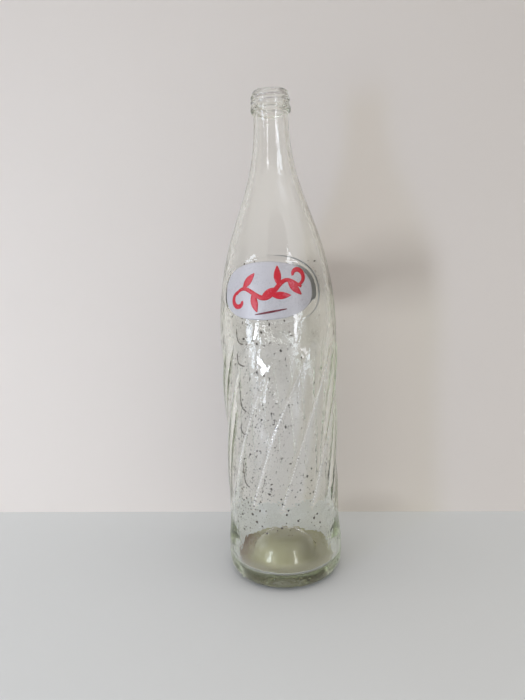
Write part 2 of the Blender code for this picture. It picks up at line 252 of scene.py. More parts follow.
# %% [markdown]
# ## Soda-lime glass
# Bottle glass is soda-lime glass, which bends light by 1.52. It is blown in a polished iron mould, so it is
# very smooth. A trace of iron makes it slightly green, which shows only where light runs a long way through
# it, along an edge or through the thick base: that is what the absorption in the volume does. Where bottles
# have rubbed together the polish is gone, and the ground surface scatters white instead of letting light
# straight through; on the bead tops this white is partly such wear and partly a painted highlight for their
# sparkle. The skin of blown glass also has a faint ripple, which breaks up a long highlight, and the finish
# is painted a darker brown in patches, most along the foot of the thread. Rays that only ask whether a lamp
# is hidden pass each face with a small loss, so the shadow is as pale as a real one.

# %% Soda-lime glass
soda_lime_glass, tree = empty_material("soda_lime_glass")
place = add_node(tree, "ShaderNodeTexCoord")
# matt white glass: rubbed wear, and on the bead tops partly a painted highlight for their sparkle
wear_and_glint = add_node(tree, "ShaderNodeAttribute", {"attribute_name": "wear_and_glint"})
nicks = add_node(
    tree,
    "ShaderNodeTexNoise",
    {"Scale": 1 / (0.9 * MM), "Detail": 3.0, "Roughness": 0.6},
    {"Vector": place.outputs["Object"]},
)
broken = add_node(
    tree,
    "ShaderNodeMapRange",
    {"From Min": 0.40, "From Max": 0.62, "To Min": 0.35, "To Max": 1.0},
    {"Value": nicks.outputs["Fac"]},
)
rough = add_node(
    tree, "ShaderNodeMath", {"operation": "MULTIPLY"}, {0: wear_and_glint.outputs["Fac"], 1: broken.outputs["Result"]}
)
clear = add_node(
    tree,
    "ShaderNodeMapRange",
    {"From Max": 0.5, "To Min": 1.0, "To Max": 0.45},
    {"Value": rough.outputs["Value"]},
)
# the finish is painted darker brown and less clear in patches, most along the foot of the thread
finish_dark = add_node(tree, "ShaderNodeAttribute", {"attribute_name": "finish_dark"})
darkening = add_node(
    tree, "ShaderNodeMath", {"operation": "MULTIPLY"}, {0: finish_dark.outputs["Fac"], 1: broken.outputs["Result"]}
)
darkening.use_clamp = True
shut = add_node(
    tree, "ShaderNodeMath", {"operation": "SUBTRACT"}, {0: clear.outputs["Result"], 1: darkening.outputs["Value"]}
)
skin_colour = add_node(
    tree,
    "ShaderNodeMix",
    {"data_type": "RGBA", 6: linear("#FFFFFF"), 7: linear("#57432F")},
    {0: darkening.outputs["Value"]},
)
skin = add_node(
    tree, "ShaderNodeTexNoise", {"Scale": 1 / (3.5 * MM), "Detail": 1.0}, {"Vector": place.outputs["Object"]}
)
ripple = add_node(
    tree, "ShaderNodeBump", {"Strength": 1.0, "Distance": 0.11 * MM}, {"Height": skin.outputs["Fac"]}
)
glass = add_node(
    tree,
    "ShaderNodeBsdfPrincipled",
    {"IOR": 1.52},
    {
        "Base Color": skin_colour.outputs[2],
        "Roughness": rough.outputs["Value"],
        "Transmission Weight": shut.outputs["Value"],
        "Normal": ripple.outputs["Normal"],
    },
)
tint = add_node(tree, "ShaderNodeVolumeAbsorption", {"Color": linear("#BBD28A"), "Density": 12.0})
ray = add_node(tree, "ShaderNodeLightPath")
let_through = add_node(tree, "ShaderNodeBsdfTransparent", {"Color": linear("#FBF9F6")})
lit = add_node(
    tree,
    "ShaderNodeMixShader",
    links={0: ray.outputs["Is Shadow Ray"], 1: glass.outputs["BSDF"], 2: let_through.outputs["BSDF"]},
)
add_node(
    tree,
    "ShaderNodeOutputMaterial",
    links={"Surface": lit.outputs["Shader"], "Volume": tint.outputs["Volume"]},
)

# %% [markdown]
# ## The outline of the glass
# A bottle is a turned shape first, so its outline is half of the model. These are the sizes that the CAD
# model was made with: a heel that curves up from the ring it stands on, two smooth bands, a slightly
# narrower waist between them, and one long shoulder curve that is upright at both ends.

# %% Outline sizes
BAND_RADIUS = 42.5 * MM
WAIST_RADIUS = 41.0 * MM
INSIDE_RADIUS = 36.8 * MM
BODY_WALL = WAIST_RADIUS - INSIDE_RADIUS
HEEL_HEIGHT = 12.5 * MM
BEARING_OUTER_RADIUS = 33.5 * MM
BEARING_INNER_RADIUS = 31.0 * MM
PUSH_UP_DEPTH = 12.0 * MM
FLOOR_HEIGHT = 10.5 * MM
FLOOR_CORNER = 4.0 * MM
DOME_RADIUS = 25.5 * MM
DOME_HEIGHT = 14.5 * MM
LOWER_BAND_TOP, WAIST_BOTTOM = 24.0 * MM, 42.0 * MM
WAIST_TOP, SHOULDER_START = 108.0 * MM, 172.0 * MM
FLUTE_BOTTOM, FLUTE_TOP = 55.0 * MM, 187.0 * MM
FINISH_RADIUS = 12.55 * MM
NECK_RADIUS = 12.1 * MM
BORE_RADIUS = 9.4 * MM
LIP_ROUND = 0.9 * MM
COLLAR_RADIUS = 14.15 * MM
COLLAR_TOP, COLLAR_UNDERSIDE = 338.6 * MM, 334.5 * MM
LOWER_HANDLE, UPPER_HANDLE = 89.5 * MM, 67.7 * MM
FINISH_SWELL = 0.65 * MM


def ease(start, end, value):
    """0 below start, 1 above end, smooth between."""
    share = min(max((value - start) / (end - start), 0.0), 1.0)
    return share * share * (3 - 2 * share)


def steps(start, end, count, last=False):
    """count even steps from start, with end only where last is set."""
    return [start + (end - start) * i / count for i in range(count + last)]


# %% Outline curves


def shoulder_radius(height):
    """Outer radius on the shoulder: one curve with a handle at each end, solved by halving."""
    marks = (
        SHOULDER_START,
        SHOULDER_START + LOWER_HANDLE,
        COLLAR_UNDERSIDE - UPPER_HANDLE,
        COLLAR_UNDERSIDE,
    )
    low, high = 0.0, 1.0
    for _ in range(30):
        t = (low + high) / 2
        weights = ((1 - t) ** 3, 3 * t * (1 - t) ** 2, 3 * t * t * (1 - t), t**3)
        reached = sum(w * m for w, m in zip(weights, marks))
        low, high = (t, high) if reached < height else (low, t)
    return BAND_RADIUS + (NECK_RADIUS - BAND_RADIUS) * low * low * (3 - 2 * low)


def outer_radius(height):
    """Outer radius of the smooth glass from the table to the collar."""
    if height >= COLLAR_UNDERSIDE:
        return NECK_RADIUS
    if height >= SHOULDER_START:
        return shoulder_radius(height)
    if height < HEEL_HEIGHT:
        rise = math.sqrt(1 - (1 - height / HEEL_HEIGHT) ** 2)
        return BEARING_OUTER_RADIUS + (BAND_RADIUS - BEARING_OUTER_RADIUS) * rise
    narrowing = ease(LOWER_BAND_TOP, WAIST_BOTTOM, height) - ease(WAIST_TOP, SHOULDER_START, height)
    return BAND_RADIUS - (BAND_RADIUS - WAIST_RADIUS) * narrowing


def inner_radius(height):
    """Radius of the smooth inside, which thins towards the neck."""
    along = min(max((height - SHOULDER_START) / (COLLAR_UNDERSIDE - SHOULDER_START), 0.0), 1.0)
    wall = BODY_WALL + (NECK_RADIUS - BORE_RADIUS - BODY_WALL) * along
    rise = height - FLOOR_HEIGHT
    if rise < FLOOR_CORNER:
        bend = math.sqrt(max(1 - (1 - rise / FLOOR_CORNER) ** 2, 0.0))
        return INSIDE_RADIUS - FLOOR_CORNER * (1 - bend)
    return min(outer_radius(height) - wall, INSIDE_RADIUS)


def finish_radius(height):
    """The wall behind the thread, which swells a little from the lip down to the collar."""
    return FINISH_RADIUS + FINISH_SWELL * (1 - ease(TOTAL_HEIGHT - 4.5 * MM, TOTAL_HEIGHT - 1.2 * MM, height))


print(f"outer radius {[round(outer_radius(h * MM) / MM, 1) for h in (5, 20, 100, 172, 212, 260, 300, 330)]} mm")

# %% [markdown]
# ## Turning the glass
# The outline is drawn once, as a line of points from the lip down the outside, under the base, and up the
# inside to the lip again, and then spun round the axis. Corners that a glass mould can't make sharp are
# rounded by cutting them off twice. The rows are closest where the ribs and the thread need them.

# %% The outline as points
COLUMNS = 144


def rounded(points, times=2):
    """Cuts the corners off a line of points, keeping its two ends."""
    for _ in range(times):
        cut = [points[0]]
        for (r0, z0), (r1, z1) in zip(points, points[1:]):
            cut.append((0.75 * r0 + 0.25 * r1, 0.75 * z0 + 0.25 * z1))
            cut.append((0.25 * r0 + 0.75 * r1, 0.25 * z0 + 0.75 * z1))
        points = cut + [points[-1]]
    return points


top = TOTAL_HEIGHT
lip = [(BORE_RADIUS + LIP_ROUND / 2, top)]
for turn in steps(0, math.pi / 2, 5, last=True):
    lip.append((FINISH_RADIUS - LIP_ROUND * (1 - math.sin(turn)), top - LIP_ROUND * (1 - math.cos(turn))))
finish_wall = [(finish_radius(z), z) for z in steps(top - 1.2 * MM, COLLAR_TOP + 0.9 * MM, 32)]
collar = rounded(
    [
        (finish_radius(COLLAR_TOP), COLLAR_TOP + 0.9 * MM),
        (finish_radius(COLLAR_TOP) + 0.1 * MM, COLLAR_TOP + 0.2 * MM),
        (COLLAR_RADIUS, COLLAR_TOP),
        (COLLAR_RADIUS, COLLAR_UNDERSIDE + 0.4 * MM),
        (NECK_RADIUS + 0.3 * MM, COLLAR_UNDERSIDE),
        (NECK_RADIUS, COLLAR_UNDERSIDE - 1.6 * MM),
    ]
)
heights = steps(COLLAR_UNDERSIDE - 2.2 * MM, FLUTE_TOP, 66)
heights += steps(FLUTE_TOP, FLUTE_BOTTOM, 264)
heights += steps(FLUTE_BOTTOM, HEEL_HEIGHT, 18)
heights += [HEEL_HEIGHT * (1 - math.sin(turn)) for turn in steps(0, math.pi / 2, 12)]
body = [(outer_radius(z), z) for z in heights]
under = [(BEARING_OUTER_RADIUS, 0.0), (BEARING_OUTER_RADIUS - 1.2 * MM, 0.0), (BEARING_INNER_RADIUS, 0.0)]
for turn in steps(0, math.pi / 2, 9, last=True)[1:]:
    under.append((BEARING_INNER_RADIUS * math.cos(turn), PUSH_UP_DEPTH * math.sin(turn)))
under = rounded(under, times=1)
inside = [(DOME_RADIUS * t, FLOOR_HEIGHT + DOME_HEIGHT * (1 - t**4)) for t in steps(0, 1, 16, last=True)]
heights = [FLOOR_HEIGHT + FLOOR_CORNER * (1 - math.cos(t)) for t in steps(0, math.pi / 2, 8)]
heights += steps(FLOOR_HEIGHT + FLOOR_CORNER, SHOULDER_START, 40)
heights += steps(SHOULDER_START, COLLAR_UNDERSIDE, 40) + steps(COLLAR_UNDERSIDE, top - LIP_ROUND, 6, last=True)
inside += [(inner_radius(z), z) for z in heights]
outline = lip + finish_wall + collar + body + under + inside
print(f"{len(outline)} points in the outline")

# %% Spin the outline
glass_work = bmesh.new()
dots = [glass_work.verts.new((radius, 0.0, height)) for radius, height in outline]
for first, second in zip(dots, dots[1:] + dots[:1]):
    if first.co.x > 1e-6 or second.co.x > 1e-6:
        glass_work.edges.new((first, second))
bmesh.ops.spin(
    glass_work,
    geom=list(glass_work.verts) + list(glass_work.edges),
    cent=(0, 0, 0),
    axis=(0, 0, 1),
    angle=2 * math.pi,
    steps=COLUMNS,
    use_merge=True,
)
bmesh.ops.remove_doubles(glass_work, verts=glass_work.verts, dist=1e-7)
bmesh.ops.recalc_face_normals(glass_work, faces=glass_work.faces)
print(f"{len(glass_work.faces)} faces, {glass_work.calc_volume() * 1e6:.0f} ml of glass")

# %% [markdown]
# ## Spiral flutes, beads, thread and knurling
# The mould has twelve shallow flutes that climb round the waist and end in rounded arches under the label.
# Where two flutes meet, a row of small beads runs along the crest; they take the knocks on a filling line,
# and they sparkle. All of this is done by moving the points of the turned shape, because every one of these
# forms is a small change of radius. The columns of points are first gathered at the crests, where the
# detail is.

# %% Flutes and beads
FLUTES = 12
FLUTE_DEPTH = 0.9 * MM
FLUTE_FADE = 13.0 * MM
ARCH_DROP = 9.0 * MM
FLUTE_PHASE = math.radians(5.0)
TWIST_AT_FOOT = math.radians(0.40) / MM
TWIST_GROWTH = math.radians(0.00114) / MM**2
CREST_BEAD = 0.50 * MM
CREST_PITCH = 2.05 * MM
CREST_WIDTH = 0.72 * MM
GATHER = 0.86


def twist(height):
    """How far the ribs have turned at a height, anticlockwise seen from above."""
    rise = min(max(height, FLUTE_BOTTOM), FLUTE_TOP) - FLUTE_BOTTOM
    return TWIST_AT_FOOT * rise + TWIST_GROWTH * rise * rise


def flute_depth(share, height):
    """Depth of the flutes at a share of the way from one crest to the next."""
    arch = ARCH_DROP * (2 * share - 1) ** 2
    fade = ease(FLUTE_BOTTOM + arch * 0.6, FLUTE_BOTTOM + arch * 0.6 + FLUTE_FADE, height)
    fade *= 1 - ease(FLUTE_TOP - arch - FLUTE_FADE, FLUTE_TOP - arch, height)
    return FLUTE_DEPTH * fade * math.sin(math.pi * share)


def bead_lift(share, height, radius):
    """Height of the beads that stand along a crest."""
    across = min(share, 1 - share) * 2 * math.pi * radius / FLUTES
    fade = ease(FLUTE_BOTTOM + 3 * MM, FLUTE_BOTTOM + 9 * MM, height)
    fade *= 1 - 0.75 * ease(140 * MM, 165 * MM, height)
    fade *= 1 - ease(FLUTE_TOP - ARCH_DROP - 4 * MM, FLUTE_TOP - ARCH_DROP, height)
    round_top = 0.5 + 0.5 * math.cos(2 * math.pi * height / CREST_PITCH)
    return CREST_BEAD * fade * (0.3 + 0.7 * round_top) * math.exp(-((across / CREST_WIDTH) ** 2))


# %% Thread, knurling and uneven walls
THREAD_HEIGHT = 0.6 * MM
THREAD_PITCH = 3.18 * MM
THREAD_TURNS = 1.6
THREAD_RUN_OUT = 0.13
THREAD_START = math.radians(120)
THREAD_FOOT = TOTAL_HEIGHT - 7.6 * MM
THREAD_REACH = 1.55 * MM
KNURLS = COLUMNS // 2


def thread_lift(around, height):
    """Height of the screw thread, which runs out softly at both ends."""
    lift = 0.0
    for turn in range(2):
        along = ((around - THREAD_START) / (2 * math.pi)) % 1.0 + turn
        off = abs(height - THREAD_FOOT - THREAD_PITCH * along) / THREAD_REACH
        if off < 1 and along < THREAD_TURNS:
            ends = ease(0, THREAD_RUN_OUT, along) * (1 - ease(THREAD_TURNS - THREAD_RUN_OUT, THREAD_TURNS, along))
            lift = max(lift, THREAD_HEIGHT * ends * (1 - off * off) ** 1.6)
    return lift


def unevenness(around, height):
    """Long soft waves of the inner wall, which was shaped by air and not by the mould."""
    spot = Vector((1.5 * math.cos(around), 1.5 * math.sin(around), height / (45 * MM)))
    return 0.30 * MM * noise.noise(spot) + 0.10 * MM * noise.noise(spot * 2.7)


wear_and_glint_layer = glass_work.verts.layers.float.new("wear_and_glint")
finish_dark_layer = glass_work.verts.layers.float.new("finish_dark")


def wear_and_glint_amount(height, lift):
    """How matt and white the outside is: rubbed on its rim and bands, and on the bead tops partly a painted
    highlight.
    """
    rim = 0.45 * (1 - ease(0.2 * MM, 1.0 * MM, height))
    low_band = 0.10 * (1 - ease(3 * MM, 6 * MM, abs(height - 17 * MM)))
    high_band = 0.10 * (1 - ease(2 * MM, 7 * MM, abs(height - SHOULDER_START)))
    return max(rim, low_band, high_band, 0.6 * lift / CREST_BEAD)


def finish_darkness(around, height, lift):
    """How much darker brown a point of the finish is painted, in patches, most along the foot of the thread."""
    foot = 1 - abs(2 * lift / THREAD_HEIGHT - 0.45) if lift > 0 else 0.35
    patch = noise.noise(Vector((2 * math.cos(around), 2 * math.sin(around), height / (1.4 * MM)))) + 0.5
    return 1.5 * max(foot, 0.0) * min(max(patch, 0.0), 1.0)


for dot in glass_work.verts:
    radius, around, height = math.hypot(dot.co.x, dot.co.y), math.atan2(dot.co.y, dot.co.x), dot.co.z
    outside = radius > (inner_radius(height) + outer_radius(height)) / 2 or height < HEEL_HEIGHT
    gather = GATHER * (1 - ease(FLUTE_TOP, FLUTE_TOP + 30 * MM, height)) if outside else 0.0
    share = around * FLUTES / (2 * math.pi) % 1.0
    moved = share - gather * math.sin(2 * math.pi * share) / (2 * math.pi)
    around += (moved - share) * 2 * math.pi / FLUTES + twist(height) + FLUTE_PHASE
    if outside and HEEL_HEIGHT < height < COLLAR_UNDERSIDE:
        bead = bead_lift(moved, height, radius)
        radius += bead - flute_depth(moved, height)
        # bead tops turn white partly as rubbed wear and partly as a painted highlight for their sparkle
        dot[wear_and_glint_layer] = wear_and_glint_amount(height, bead)
    elif height > COLLAR_TOP and radius > FINISH_RADIUS - 0.01 * MM:
        lift = thread_lift(around, height)
        radius += lift
        dot[finish_dark_layer] = finish_darkness(around, height, lift)
    elif not outside and height > FLOOR_HEIGHT + FLOOR_CORNER:
        radius += unevenness(around, height) * (1 - ease(SHOULDER_START, COLLAR_UNDERSIDE, height))
    if outside and height < HEEL_HEIGHT:
        dot[wear_and_glint_layer] = wear_and_glint_amount(height, 0.0) if radius > BEARING_INNER_RADIUS else 0.06
    if height < 0.05 * MM and BEARING_INNER_RADIUS + 0.2 * MM < radius < BEARING_OUTER_RADIUS - 0.2 * MM:
        height += 0.15 * MM * (1 + math.cos(KNURLS * around))
    dot.co = (radius * math.cos(around), radius * math.sin(around), height)
print(f"{FLUTES} flutes, a bead each {CREST_PITCH / MM:.2f} mm, {KNURLS} knurls under the base")

# %% [markdown]
# ## The raised ovals
# A raised line frames each label. The turned mesh is too coarse for a line 2.6 mm wide, so only the faces
# near it are divided, and then their points are lifted. The oval is a little squarer than an ellipse.

# %% Raised ovals
PANEL_HEIGHT = 212.0 * MM
PANEL_HALF_WIDTH, PANEL_HALF_HEIGHT = 36.6 * MM, 22.4 * MM
SQUARENESS = 2.3
RIDGE_HALF_WIDTH, RIDGE_HEIGHT = 1.4 * MM, 0.28 * MM
WRAP_RADIUS = outer_radius(PANEL_HEIGHT)
PANEL_ZONE = 30 * MM
FINE_MESH_REACH = 2.4 * MM


def off_oval(along, up, half_width=PANEL_HALF_WIDTH, half_height=PANEL_HALF_HEIGHT):
    """About how far a point lies outside the oval, in metres."""
    a, b = abs(along) / half_width, abs(up) / half_height
    reach = (a**SQUARENESS + b**SQUARENESS) ** (1 / SQUARENESS)
    if reach < 0.3:
        return -half_height
    slope = math.hypot(
        (a / reach) ** (SQUARENESS - 1) / half_width, (b / reach) ** (SQUARENESS - 1) / half_height
    )
    return (reach - 1) / slope


def off_ridge(place):
    """About how far a point on the glass lies from the middle of the nearer raised line."""
    around = math.atan2(place.x, -place.y)
    if abs(around) > math.pi / 2:
        around = math.atan2(-place.x, place.y)
    return abs(off_oval(around * WRAP_RADIUS, place.z - PANEL_HEIGHT))


def is_outside(place):
    return math.hypot(place.x, place.y) > (inner_radius(place.z) + outer_radius(place.z)) / 2


near = set()
for face in glass_work.faces:
    middle = face.calc_center_median()
    in_zone = abs(middle.z - PANEL_HEIGHT) < PANEL_ZONE and is_outside(middle)
    if in_zone and off_ridge(middle) < FINE_MESH_REACH:
        near.update(face.edges)
bmesh.ops.subdivide_edges(glass_work, edges=list(near), cuts=4, use_grid_fill=True)
for dot in glass_work.verts:
    if abs(dot.co.z - PANEL_HEIGHT) < PANEL_ZONE and is_outside(dot.co):
        off = off_ridge(dot.co) / RIDGE_HALF_WIDTH
        smooth = Vector((dot.co.x, dot.co.y, 0)).normalized() * outer_radius(dot.co.z)
        if dot.co.z > FLUTE_TOP:
            dot.co.x, dot.co.y = smooth.x, smooth.y
        if off < 1:
            out = Vector((dot.co.x, dot.co.y, 0)).normalized()
            dot.co += out * RIDGE_HEIGHT * (1 - off * off) ** 1.5
print(f"{len(near)} edges divided, {len(glass_work.faces)} faces now")

# %% [markdown]
# ## Mould seams
# The mould opens in two halves, and leaves a hair-fine raised seam up each side, from the heel to the
# thread. The spiral columns don't follow it, so the outside is cut along three upright planes, and the
# middle cut is lifted. It is worn away on the two bands, where the bottle is widest.

# %% Mould seams
SEAM_HALF_WIDTH, SEAM_HEIGHT = 0.28 * MM, 0.10 * MM
SEAM_BOTTOM, SEAM_TOP = HEEL_HEIGHT + 2 * MM, COLLAR_UNDERSIDE - 3 * MM
for shift in (-SEAM_HALF_WIDTH, 0.0, SEAM_HALF_WIDTH):
    faces = [
        face
        for face in glass_work.faces
        if abs(face.calc_center_median().y) < 6 * MM and is_outside(face.calc_center_median())
        and HEEL_HEIGHT < face.calc_center_median().z < COLLAR_UNDERSIDE - 2 * MM
    ]
    geometry = set(faces)
    for face in faces:
        geometry.update(face.edges)
        geometry.update(face.verts)
    bmesh.ops.bisect_plane(
        glass_work, geom=list(geometry), dist=1e-7, plane_co=(0, shift, 0), plane_no=(0, 1, 0)
    )
for dot in glass_work.verts:
    if abs(dot.co.y) < 1e-6 and is_outside(dot.co) and SEAM_BOTTOM < dot.co.z < SEAM_TOP:
        lift = max(min(SEAM_HEIGHT, BAND_RADIUS - abs(dot.co.x)), 0.0)
        dot.co.x += math.copysign(lift, dot.co.x)
print(f"{len(glass_work.faces)} faces with the seams")

# %% Put the glass in place


def make_piece(name, work, look, nodes=()):
    """Turns a bmesh into a finished piece that rides on the bottle and stands for the CAD nodes."""
    mesh = bpy.data.meshes.new(name)
    work.to_mesh(mesh)
    work.free()
    mesh.materials.append(look)
    mesh.shade_smooth()
    item = bpy.data.objects.new(name, mesh)
    bpy.context.scene.collection.objects.link(item)
    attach(item, "root")
    if nodes:
        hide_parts(*nodes)
    triangles = sum(len(face.vertices) - 2 for face in mesh.polygons)
    print(f"{name}: {triangles} triangles")
    return item


make_piece("bottle_glass", glass_work, soda_lime_glass, ("glass_bottle",))

# %% [markdown]
# ## Fired enamel
# The label is ceramic enamel: coloured ground glass that is printed through a silk screen and fired on. It
# has a soft gloss. Years of washing dull it, thin it in small spots, and leave the red paler wherever
# bottles rubbed together. The white is thin enough to glow a little when light stands behind it.

# %% Enamel finishes


def fired_enamel(name, code, worn_code, wear_from, roughness, see_through=0.0):
    """Enamel that turns towards its worn colour in small spots and long rubbed patches."""
    made, tree = empty_material(name)
    place = add_node(tree, "ShaderNodeTexCoord")
    spots = add_node(
        tree,
        "ShaderNodeTexNoise",
        {"Scale": 1 / (1.1 * MM), "Detail": 4.0, "Roughness": 0.7},
        {"Vector": place.outputs["Object"]},
    )
    patches = add_node(
        tree, "ShaderNodeTexNoise", {"Scale": 1 / (11 * MM), "Detail": 2.0}, {"Vector": place.outputs["Object"]}
    )
    both = add_node(
        tree,
        "ShaderNodeMath",
        {"operation": "MULTIPLY_ADD", 1: 0.55},
        {0: patches.outputs["Fac"], 2: spots.outputs["Fac"]},
    )
    wear = add_node(
        tree,
        "ShaderNodeMapRange",
        {"From Min": wear_from, "From Max": wear_from + 0.22},
        {"Value": both.outputs["Value"]},
    )
    colour = add_node(
        tree,
        "ShaderNodeMix",
        {"data_type": "RGBA", 6: linear(code), 7: linear(worn_code)},
        {0: wear.outputs["Result"]},
    )
    dull = add_node(
        tree,
        "ShaderNodeMapRange",
        {"From Min": 0.3, "From Max": 0.7, "To Min": roughness - 0.08, "To Max": roughness + 0.16},
        {"Value": spots.outputs["Fac"]},
    )
    grain = add_node(
        tree, "ShaderNodeBump", {"Strength": 0.35, "Distance": 0.04 * MM}, {"Height": spots.outputs["Fac"]}
    )
    enamel = add_node(
        tree,
        "ShaderNodeBsdfPrincipled",
        {"IOR": 1.5, "Transmission Weight": see_through},
        {
            "Base Color": colour.outputs[2],
            "Roughness": dull.outputs["Result"],
            "Normal": grain.outputs["Normal"],
        },
    )
    add_node(tree, "ShaderNodeOutputMaterial", links={"Surface": enamel.outputs["BSDF"]})
    return made


white_enamel = fired_enamel("white_fired_enamel", "#DCDDE4", "#C8C9D0", 0.78, 0.34, see_through=0.3)
red_enamel = fired_enamel("red_fired_enamel", "#C41A2E", "#D9788C", 0.84, 0.36)
dark_red_enamel = fired_enamel("dark_red_fired_enamel", "#6A1626", "#A66A78", 0.80, 0.40)

# %% [markdown]
# ## The white ground
# A square grid is pulled into an oval, thickened while it is flat, and then wrapped on the glass. That
# keeps its faces even, with no pole in the middle. Its edge wanders a little, as a printed edge does on
# curved glass.

# %% White ground
ENAMEL = 0.09 * MM
GROUND_CLEAR = 0.07 * MM
GROUND_HALF_WIDTH, GROUND_HALF_HEIGHT = 33.4 * MM, 19.2 * MM
GROUND_SHIFT = -2.1 * MM
LABELS = (("front", -math.pi / 2), ("back", math.pi / 2))


def on_glass(along, height, centre, clear):
    """The point at a distance along the glass from the centre angle, and clear of the surface."""
    probe = 0.5 * MM
    slope = (outer_radius(height + probe) - outer_radius(height - probe)) / (2 * probe)
    length = math.hypot(1, slope)
    radius = outer_radius(height) + clear / length
    angle = centre + along / WRAP_RADIUS
    return Vector((radius * math.cos(angle), radius * math.sin(angle), height - clear * slope / length))


def oval(angle, half_width, half_height):
    power = 2 / SQUARENESS
    across, up = math.cos(angle), math.sin(angle)
    wide, high = math.copysign(abs(across) ** power, across), math.copysign(abs(up) ** power, up)
    return half_width * wide, half_height * high


def raise_flat(work, thickness):
    """Gives a flat sheet its thickness, upwards."""
    made = bmesh.ops.extrude_face_region(work, geom=list(work.faces))
    lifted = [item for item in made["geom"] if isinstance(item, bmesh.types.BMVert)]
    bmesh.ops.translate(work, verts=lifted, vec=(0, 0, thickness))
    bmesh.ops.recalc_face_normals(work, faces=work.faces)


for side, centre in LABELS:
    work = bmesh.new()
    bmesh.ops.create_grid(work, x_segments=64, y_segments=40, size=1.0)
    raise_flat(work, ENAMEL)
    for dot in work.verts:
        x, y, lift = dot.co
        across, up = x * math.sqrt(1 - y * y / 2), y * math.sqrt(1 - x * x / 2)
        reach, angle = math.hypot(across, up), math.atan2(up, across)
        ripple = noise.noise(Vector((3 * math.cos(angle), 3 * math.sin(angle), 2 * centre)))
        reach *= 1 + 0.012 * ripple * ease(0.8, 1.0, reach)
        along, rise = oval(angle, GROUND_HALF_WIDTH * reach, GROUND_HALF_HEIGHT * reach)
        dot.co = on_glass(along + GROUND_SHIFT, PANEL_HEIGHT + rise, centre, GROUND_CLEAR + lift)
    make_piece(f"{side}_label_white", work, white_enamel, (f"{side}_label_ground",))

# %% [markdown]
# ## The red sprig
# The ornament is drawn as strokes of a brush: each is a narrow grid laid along a route, widest in its
# middle. Strokes are joined with a Boolean union while they are flat, so the print is one closed layer, and
# it is then cut fine enough to bend round the glass.

# %% Brush strokes
PRINT_WIDTH, PRINT_HEIGHT = 54.0 * MM, 26.0 * MM
PRINT_TILT = math.radians(9.0)
PRINT_CLEAR = GROUND_CLEAR + ENAMEL + 0.03 * MM


def stroke(route, half_width, count, blunt=0.15):
    """A flat stroke along route(0..1) as a bmesh with enamel thickness."""
    work = bmesh.new()
    bmesh.ops.create_grid(work, x_segments=count, y_segments=1, size=1.0)
    for dot in work.verts:
        share, side = (dot.co.x + 1) / 2, dot.co.y
        ahead = Vector(route(min(share + 0.01, 1.0))) - Vector(route(max(share - 0.01, 0.0)))
        across = Vector((-ahead.y, ahead.x)).normalized()
        width = half_width * (blunt + (1 - blunt) * math.sin(math.pi * share))
        dot.co = (Vector(route(share)) + across * side * width).to_3d()
    raise_flat(work, ENAMEL)
    return work


def flat_object(work):
    mesh = bpy.data.meshes.new("stroke")
    work.to_mesh(mesh)
    work.free()
    item = bpy.data.objects.new("stroke", mesh)
    bpy.context.scene.collection.objects.link(item)
    return item


def joined(strokes):
    """The union of flat strokes, as one bmesh."""
    base = flat_object(strokes[0])
    for other in strokes[1:]:
        cutter = flat_object(other)
        union = base.modifiers.new("union", "BOOLEAN")
        union.operation, union.solver, union.object = "UNION", "EXACT", cutter
        graph = bpy.context.evaluated_depsgraph_get()
        base.data = bpy.data.meshes.new_from_object(base.evaluated_get(graph))
        base.modifiers.clear()
        bpy.data.objects.remove(cutter, do_unlink=True)
    work = bmesh.new()
    work.from_mesh(base.data)
    bpy.data.objects.remove(base, do_unlink=True)
    return work


def wrap_print(work, centre, rise):
    """Cuts a flat print into small faces, tilts it and bends it over the white ground."""
    for axis in (Vector((1, 0, 0)), Vector((0, 1, 0))):
        for spot in steps(-PRINT_WIDTH / 2, PRINT_WIDTH / 2, 36, last=True):
            everything = list(work.verts) + list(work.edges) + list(work.faces)
            bmesh.ops.bisect_plane(work, geom=everything, plane_co=axis * spot, plane_no=axis, dist=1e-7)
    for dot in work.verts:
        x, y, lift = dot.co
        along = x * math.cos(PRINT_TILT) - y * math.sin(PRINT_TILT)
        up = x * math.sin(PRINT_TILT) + y * math.cos(PRINT_TILT)
        dot.co = on_glass(along, PANEL_HEIGHT + rise + up, centre, PRINT_CLEAR + lift)


# %% Sprig and rule
STEM_HALF_WIDTH = 1.6 * MM
LEAF_LENGTH, LEAF_HALF_WIDTH = 12.0 * MM, 2.5 * MM


def stem(share):
    return PRINT_WIDTH * (share - 0.5) * 0.86, PRINT_HEIGHT * 0.17 * math.sin(3 * math.pi * share + 0.4)


def scroll(side):
    """A curl that leaves one end of the stem and winds inwards."""
    start = Vector(stem(0.5 + 0.46 * side))

    def route(share):
        turn = 1.45 * math.pi * share
        radius = PRINT_HEIGHT * 0.24 * (1 - 0.62 * share)
        middle = start + Vector((0, side * PRINT_HEIGHT * 0.24))
        return middle.x + side * radius * math.sin(turn), middle.y - side * radius * math.cos(turn)

    return route


def leaf(share, side):
    """A leaf's midrib, from inside the stem out to its tip."""
    root = Vector(stem(share))
    ahead = (Vector(stem(share + 0.02)) - Vector(stem(share - 0.02))).normalized()
    lean = ahead * 0.66 + Vector((-ahead.y, ahead.x)) * 0.75 * side
    return lambda along: tuple(root + lean * (LEAF_LENGTH * along) + ahead * (1.5 * MM * along * along))


def rule_line(share):
    return 21.0 * MM * (share - 0.5) + 2 * MM, 0.0


